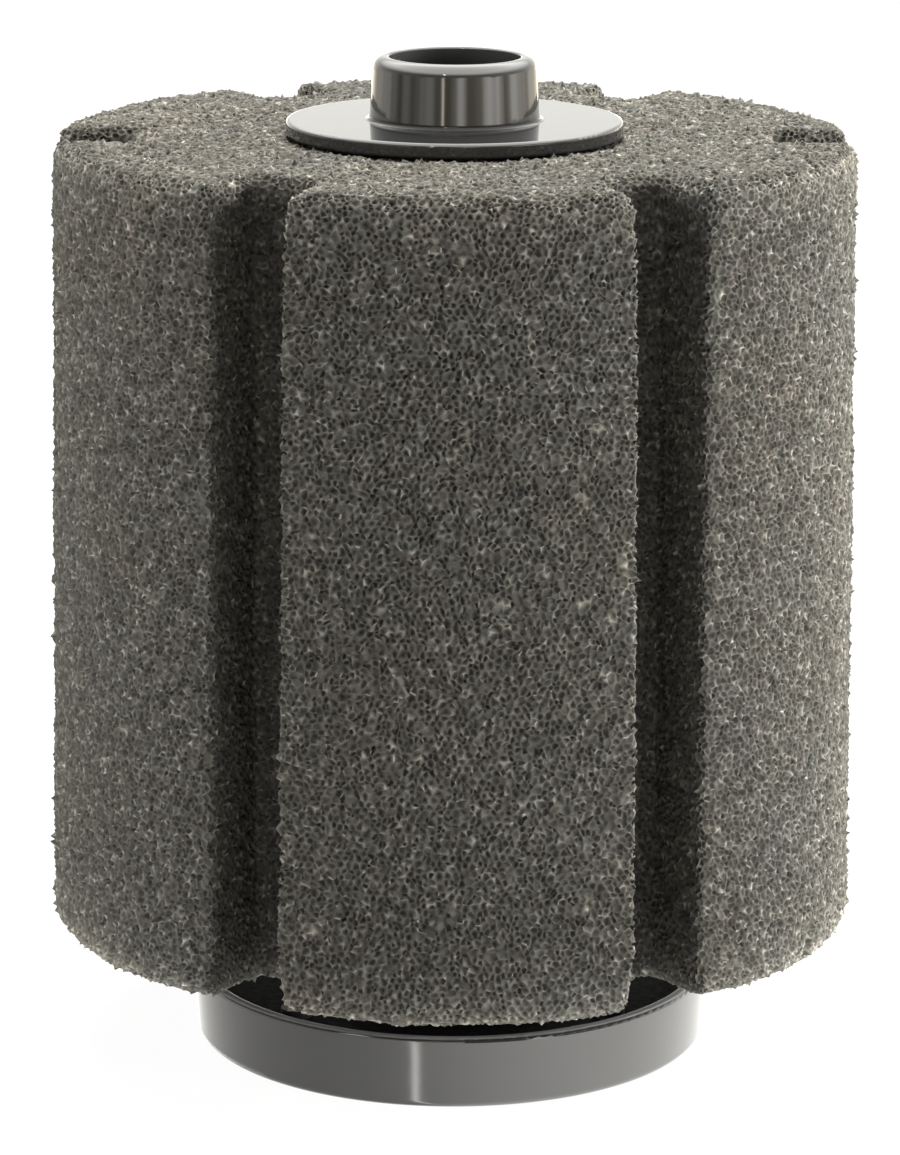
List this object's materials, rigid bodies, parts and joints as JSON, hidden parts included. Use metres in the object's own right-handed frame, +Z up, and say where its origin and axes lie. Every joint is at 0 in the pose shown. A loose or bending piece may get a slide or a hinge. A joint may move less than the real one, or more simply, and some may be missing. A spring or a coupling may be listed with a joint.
{
  "type": "aquarium sponge filter",
  "caption": "Grooved foam cylinder on a slotted strainer core, with a round outlet collar on top for a powerhead's pipe and a weighted dish base.",
  "frame": {"origin": "centre of the base's resting face", "axes": "+Z up along the core's and the outlet bore's axis; -Y is the front, where one foam lobe is centred"},
  "size_m": [0.1144, 0.115, 0.1442],
  "materials": {
    "foam": "open-cell foam, matte dark grey",
    "black_plastic": "polished near-black",
    "seal_rubber": "matte black",
    "coated_iron": "epoxy-coated dark grey",
    "coated_steel": "black-coated"
  },
  "bodies": {
    "base": {"base_dish": "black_plastic", "ballast_ring": "coated_iron", "ballast_cover": "black_plastic", "cover_screws": "coated_steel"},
    "core": {"support_hub": "black_plastic", "hub_o_ring": "seal_rubber", "strainer_core": "black_plastic"},
    "foam": {"foam_sponge": "foam"},
    "collar": {"outlet_collar": "black_plastic", "collar_gasket": "seal_rubber"}
  },
  "joints": [
    {"name": "core_lift", "type": "slide", "parent": "base", "child": "core", "axis": [0, 0, 1], "range_m": [0, 0.012]},
    {"name": "foam_lift", "type": "slide", "parent": "core", "child": "foam", "axis": [0, 0, 1], "range_m": [0, 0.115]},
    {"name": "collar_lift", "type": "slide", "parent": "foam", "child": "collar", "axis": [0, 0, 1], "range_m": [0, 0.012]}
  ]
}
